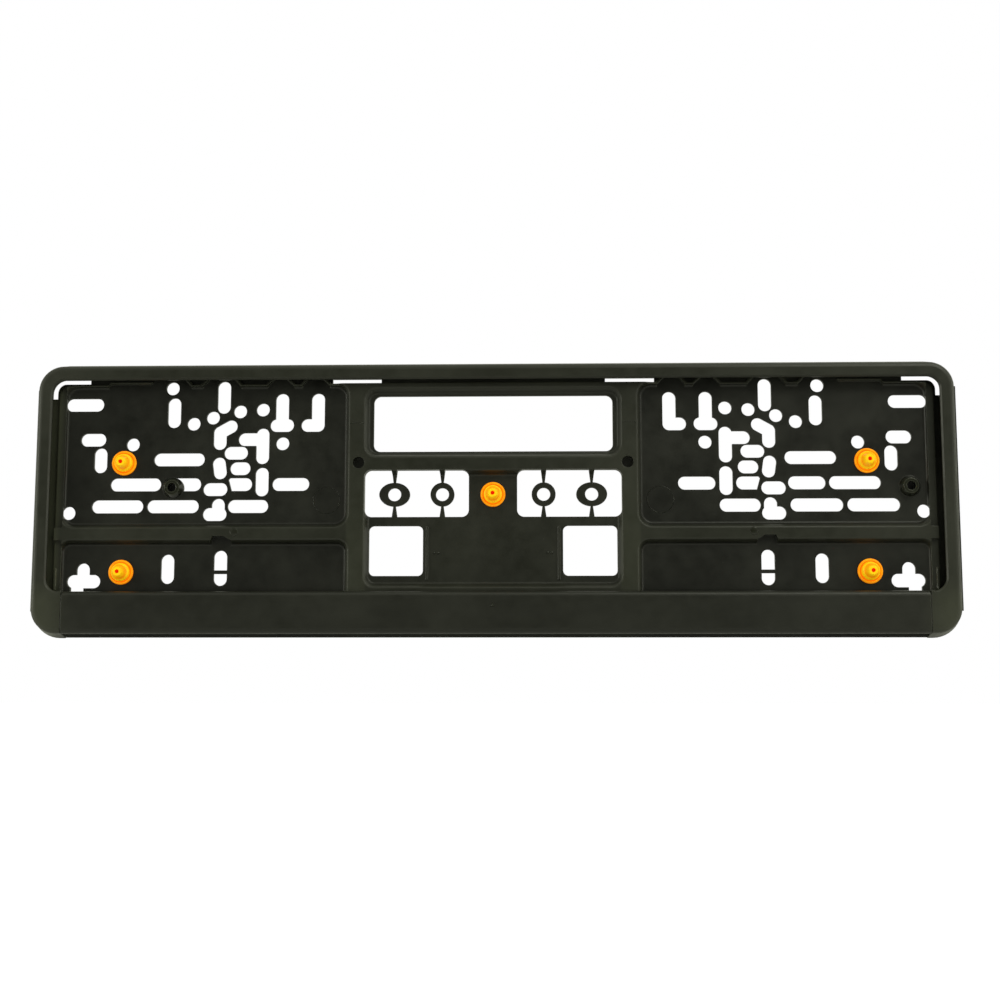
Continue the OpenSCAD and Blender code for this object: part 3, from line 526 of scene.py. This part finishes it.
def rubber_material(name, sizes):
    """Soft orange plastic: paler where it has little thickness and painted paler where highlights fall, a little light
    passing inside with a painted glow from its own colour, and a smooth waxy gloss.
    """
    material = bpy.data.materials.new(name)
    material.use_nodes = True
    tree = material.node_tree
    tree.nodes.clear()
    place = add(tree, "ShaderNodeTexCoord").outputs["Object"]
    thin = add(tree, "ShaderNodeAttribute", attribute_name="thin").outputs["Fac"]
    deep = add(tree, "ShaderNodeAttribute", attribute_name="deep").outputs["Fac"]
    cloud = noise(tree, place, size=0.0035)
    # paler where the plastic has little thickness, and painted highlights on the front zones
    share = maths(tree, "ADD", thin, swing(tree, cloud, -0.12, 0.12), True)
    colour = mixed(tree, share, tuple(sizes.colour), tuple(sizes.thin_and_highlit_colour))
    # painted shade in the hole and the gutter inside the rim
    colour = mixed(tree, deep, colour, tuple(sizes.deep_shade_colour))
    fine = noise(tree, place, size=0.0004, detail=2.0)
    grain = add(tree, "ShaderNodeBump", {"Height": maths(tree, "ADD", fine, cloud), "Strength": 0.25,
                                         "Distance": 0.00003})
    # painted glow: the colour is also emitted
    shader = add(tree, "ShaderNodeBsdfPrincipled", {
        "Base Color": colour, "Roughness": swing(tree, cloud, 0.26, 0.38), "IOR": 1.45,
        "Subsurface Weight": 0.2, "Subsurface Radius": (1.0, 0.35, 0.05), "Subsurface Scale": 0.0008,
        "Specular IOR Level": 0.2, "Emission Color": colour, "Emission Strength": sizes.glow,
        "Normal": grain.outputs[0]})
    add(tree, "ShaderNodeOutputMaterial", {"Surface": shader.outputs[0]})
    return material


def floor_material(name, white):
    """Pale floor that the camera sees as white, and that still takes the holder's shadow."""
    material = bpy.data.materials.new(name)
    material.use_nodes = True
    tree = material.node_tree
    tree.nodes.clear()
    path = add(tree, "ShaderNodeLightPath").outputs
    place = add(tree, "ShaderNodeTexCoord").outputs["Object"]
    colour = mixed(tree, noise(tree, place, size=0.3), (0.58, 0.58, 0.58), (0.61, 0.61, 0.61))
    matt = add(tree, "ShaderNodeBsdfDiffuse", {"Color": colour})
    glow = add(tree, "ShaderNodeEmission", {"Color": (1, 1, 1, 1), "Strength": maths(
        tree, "MULTIPLY", path["Is Camera Ray"], 0.85 * white)})
    both = add(tree, "ShaderNodeAddShader", {0: matt.outputs[0], 1: glow.outputs[0]})
    add(tree, "ShaderNodeOutputMaterial", {"Surface": both.outputs[0]})
    return material


# operators

class HOLDER_OT_finish_plastic(bpy.types.Operator):
    """Gives the base frame and the cover strip their moulded black finish, with painted light and shade on some zones
    """

    bl_idname = "holder.finish_plastic"
    bl_label = "Finish the moulded plastic"

    def execute(self, context):
        finish = context.scene.holder_finish
        moulded_skin_group()
        rounded_edge_group()
        # each skin's raised value sets how much painted light its raised faces get
        skins = {
            "base_frame": plastic_material(
                "satin_black_frame", finish, finish.frame_roughness, mottle=0.14, flow=0.25, dust=0.25, bump=0.5,
                raised=finish.raised),
            "cover_strip": plastic_material(
                "satin_black_strip", finish, finish.strip_roughness, mottle=0.12, flow=0.9, dust=0.2, bump=0.45,
                raised=0.05, shade=finish.strip_shade),
        }
        for node, material in skins.items():
            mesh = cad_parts[node].data
            mesh.materials.clear()
            mesh.materials.append(material)
        return {"FINISHED"}


class HOLDER_OT_make_buffers(bpy.types.Operator):
    """Makes the five soft buffers as turned surfaces in place of their plain solids"""

    bl_idname = "holder.make_buffers"
    bl_label = "Make the soft buffers"

    def execute(self, context):
        sizes = context.scene.holder_buffers
        material = rubber_material("soft_orange", sizes)
        f, rim, bore = sizes.flange, sizes.rim, sizes.bore
        for place in BUFFERS:
            node = "buffer_" + place
            low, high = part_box(node)
            x, z = (low[0] + high[0]) / 2, (low[2] + high[2]) / 2
            tip, back = low[1], high[1]
            seat = back - SEAT_DEPTH
            # half section from the back's middle to the bottom of the bore: distance from the axis, y and rounding
            section = np.array([
                (0, back, 0), (HEAD, back, 0.0002), (HEAD, back - HEAD_THICKNESS, 0.0001),
                (NECK, back - HEAD_THICKNESS, 0.0001), (NECK, seat, 0.0001),
                # flange with its rounded rim and the gutter inside it
                (f, seat, 0.0004), (f, seat - rim, 0.0005), (f - 0.0011, seat - rim - 0.0001, 0.0004),
                (f - 0.0014, seat - 0.0007, 0.0003), (0.0053, seat - 0.0008, 0.0003),
                # cone with its shoulder
                (0.0049, seat - 0.0036, 0.0006), (0.0041, seat - 0.0039, 0.0003), (0.0037, seat - 0.0045, 0.0003),
                # tip and bore
                (0.00235, tip, 0.0004), (bore, tip, 0.0002), (bore, tip + 0.0032, 0.0003), (0, tip + 0.0034, 0)])
            profile = smooth_profile(section[:, :2], section[:, 2])
            points = turned(profile, [(x, z)])
            radius, front = profile[:, 0], profile[:, 1] < seat - 0.0004
            # share of the paler colour on the front: little thickness, plus painted highlights in rings
            thin = np.interp(radius / f, *THIN_AND_HIGHLIT) * front
            # painted shade: darker red in the gutter ring and the whole bore
            deep = np.interp(radius / f, *DEEP_SHADE)
            deep = np.where(radius < bore * 1.01, 1.0, deep)
            values = {key: np.broadcast_to(value[None, :, None], points.shape[:3])
                      for key, value in (("thin", thin), ("deep", deep))}
            piece = make_piece("soft_" + node, points, False, True, material, values)
            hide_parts(node)
        return {"FINISHED"}


class HOLDER_OT_make_marks(bpy.types.Operator):
    """Makes the faint rings, pips and lines that ejector pins and the mould leave on the plastic"""

    bl_idname = "holder.make_marks"
    bl_label = "Make the mould marks"

    def execute(self, context):
        finish, sizes = context.scene.holder_finish, context.scene.holder_marks
        material = plastic_material(
            "satin_black_marks", finish, finish.frame_roughness - 0.2, mottle=0.1, flow=0.0, dust=0.0, bump=0.2,
            raised=finish.raised)
        t = np.linspace(0, 2 * math.pi, 12, endpoint=False)

        # rings on the side panels: an ellipse carried round a circle
        section = np.stack([RING_RADIUS + RING_WIDTH / 2 * np.cos(t), FLOOR_Y - sizes.height * np.sin(t)], -1)
        rings = turned(section, both_sides(RING), 64)
        make_piece("ejector_rings", rings, True, True, material)

        # low discs with a half-round rim on the side rails
        rim = np.linspace(0, math.pi, 8)
        disc = np.stack([PIN_RADIUS + PIN_ROUND * np.sin(rim), LEDGE_Y - sizes.height * np.cos(rim)], -1)
        disc = np.concatenate([[[0, LEDGE_Y - sizes.height]], disc, [[0, LEDGE_Y + sizes.height]]])
        make_piece("pin_marks", turned(disc, both_sides(PIN), 48), False, True, material)

        # flattened balls on the middle panel
        a = np.linspace(0, math.pi, 10)
        ball = np.stack([sizes.pip * np.sin(a), FLOOR_Y - sizes.pip * PIP_FLATNESS * np.cos(a)], -1)
        make_piece("moulded_pips", turned(ball, both_sides(*PIPS), 24), False, True, material)

        # thin line with a knob at each end across both bars: radius r(x) turned about the line
        across = np.array([0, 0.02, 0.07, 0.1, 0.9, 0.93, 0.98, 1])
        thick = np.array([0, 1, 1, 0.4, 0.4, 1, 1, 0]) * sizes.line
        lines = [np.stack(np.broadcast_arrays((s * (LINE_X + LINE_LENGTH * across))[:, None],
                                              LEDGE_Y + LINE_FLATNESS * thick[:, None] * np.cos(t),
                                              LINE_Z + thick[:, None] * np.sin(t)), -1) for s in (-1, 1)]
        make_piece("witness_lines", np.stack(lines), False, True, material)

        # low three-sided pyramid that marks the strip's middle
        corner = np.linspace(0, 2 * math.pi, 3, endpoint=False) + math.pi / 2
        size = np.array([0, 1, 1, 0])[:, None] * sizes.arrow
        depth = np.array(MARK_DEPTHS)[:, None]
        arrow = np.stack(np.broadcast_arrays(size * np.cos(corner), depth, MARK_Z + size * np.sin(corner)), -1)
        make_piece("middle_mark", arrow[None], False, True, material)
        return {"FINISHED"}


class HOLDER_OT_make_stage(bpy.types.Operator):
    """Makes the pale floor, the white surroundings, the soft lamps and the camera of the photograph"""

    bl_idname = "holder.make_stage"
    bl_label = "Make the stage"

    def execute(self, context):
        stage = context.scene.holder_stage
        mesh = bpy.data.meshes.new("floor")
        r, z = FLOOR_REACH, stage.floor_height
        mesh.from_pydata([(-r, -r, z), (r, -r, z), (r, r, z), (-r, r, z)], [], [(0, 1, 2, 3)])
        floor = bpy.data.objects.new("floor", mesh)
        context.scene.collection.objects.link(floor)
        mesh.materials.append(floor_material("pale_floor", stage.white))

        world = bpy.data.worlds.new("white_room")
        world.use_nodes = True
        tree = world.node_tree
        tree.nodes.clear()
        path = add(tree, "ShaderNodeLightPath").outputs
        # the world's normal points from the room to the holder, so y is 1 behind the camera and x is -1 at the right
        back = add(tree, "ShaderNodeSeparateXYZ", {0: add(tree, "ShaderNodeNewGeometry").outputs["Normal"]})
        light = spread(tree, back.outputs[1], *ROOM_FADE, stage.around, stage.front)
        light = maths(tree, "MULTIPLY", light, spread(tree, back.outputs[0], -1.0, 1.0, ROOM_RIGHT, ROOM_LEFT))
        strength = add(tree, "ShaderNodeMix", {0: path["Is Camera Ray"]})
        tree.links.new(light, strength.inputs[2])
        strength.inputs[3].default_value = stage.white
        tint = mixed(tree, path["Is Camera Ray"], tuple(stage.tint), (1, 1, 1))
        room = add(tree, "ShaderNodeBackground", {"Color": tint, "Strength": strength.outputs[0]})
        add(tree, "ShaderNodeOutputWorld", {"Surface": room.outputs[0]})
        context.scene.world = world

        for name, place, size in LAMPS:
            self.lamp(context, name + "_lamp", place, size, getattr(stage, name))
        self.camera(context)
        context.scene.view_settings.view_transform = "Standard"
        return {"FINISHED"}

    def lamp(self, context, name, place, size, power):
        """A soft lamp of that width and height that faces the middle of the plate."""
        data = bpy.data.lights.new(name, "AREA")
        data.shape, data.size, data.size_y, data.energy = "RECTANGLE", *size, power
        data.color = context.scene.holder_stage.tint
        lamp = bpy.data.objects.new(name, data)
        lamp.location = place
        lamp.rotation_mode = "QUATERNION"
        lamp.rotation_quaternion = (-Vector(place)).to_track_quat("-Z", "Y")
        context.scene.collection.objects.link(lamp)

    def camera(self, context):
        """Camera of the photograph: the rows of a @ b @ c, its tilt, turn and roll, are its right, forward and up."""
        tilt, turn, roll = (math.radians(angle) for angle in CAMERA_TURNS)
        a = np.array([[1, 0, 0], [0, math.cos(tilt), -math.sin(tilt)], [0, math.sin(tilt), math.cos(tilt)]])
        b = np.array([[math.cos(turn), -math.sin(turn), 0], [math.sin(turn), math.cos(turn), 0], [0, 0, 1]])
        c = np.array([[math.cos(roll), 0, math.sin(roll)], [0, 1, 0], [-math.sin(roll), 0, math.cos(roll)]])
        axes = a @ b @ c
        place = -axes.T @ np.array(FIT_FROM_CAMERA) - np.array(FRAME_FROM_FIT)
        matrix = Matrix.Identity(4)
        for column, axis in enumerate((axes[0], axes[2], -axes[1])):
            for row in range(3):
                matrix[row][column] = axis[row]
        matrix.translation = Vector(place)
        data = bpy.data.cameras.new("photo_camera")
        data.sensor_width, data.lens = SENSOR, SENSOR * FOCAL_PIXELS / PICTURE_PIXELS
        data.clip_start, data.clip_end = 0.01, 20
        camera = bpy.data.objects.new("photo_camera", data)
        camera.matrix_world = matrix
        context.scene.collection.objects.link(camera)
        context.scene.camera = camera


class HOLDER_PT_panel(bpy.types.Panel):
    """Sizes, colours and steps of the dressing"""

    bl_label = "Plate holder"
    bl_idname = "HOLDER_PT_panel"
    bl_space_type = "VIEW_3D"
    bl_region_type = "UI"
    bl_category = "Plate holder"

    def draw(self, context):
        for group, step in (("holder_finish", "finish_plastic"), ("holder_buffers", "make_buffers"),
                            ("holder_marks", "make_marks"), ("holder_stage", "make_stage")):
            box = self.layout.box()
            settings = getattr(context.scene, group)
            for key in settings.bl_rna.properties.keys():
                if key not in ("rna_type", "name"):
                    box.prop(settings, key)
            box.operator("holder." + step)


CLASSES = (HolderFinishAndPaintedLight, BufferSizes, MarkSizes, StageSettings, HOLDER_OT_finish_plastic, HOLDER_OT_make_buffers,
           HOLDER_OT_make_marks, HOLDER_OT_make_stage, HOLDER_PT_panel)
SETTINGS = {"holder_finish": HolderFinishAndPaintedLight, "holder_buffers": BufferSizes, "holder_marks": MarkSizes,
            "holder_stage": StageSettings}


def register():
    for kind in CLASSES:
        bpy.utils.register_class(kind)
    for key, kind in SETTINGS.items():
        setattr(bpy.types.Scene, key, bpy.props.PointerProperty(type=kind))


def unregister():
    for key in SETTINGS:
        delattr(bpy.types.Scene, key)
    for kind in reversed(CLASSES):
        bpy.utils.unregister_class(kind)


def main():
    register()
    bpy.ops.holder.finish_plastic()
    bpy.ops.holder.make_buffers()
    bpy.ops.holder.make_marks()
    bpy.ops.holder.make_stage()


if __name__ == "__main__":
    main()
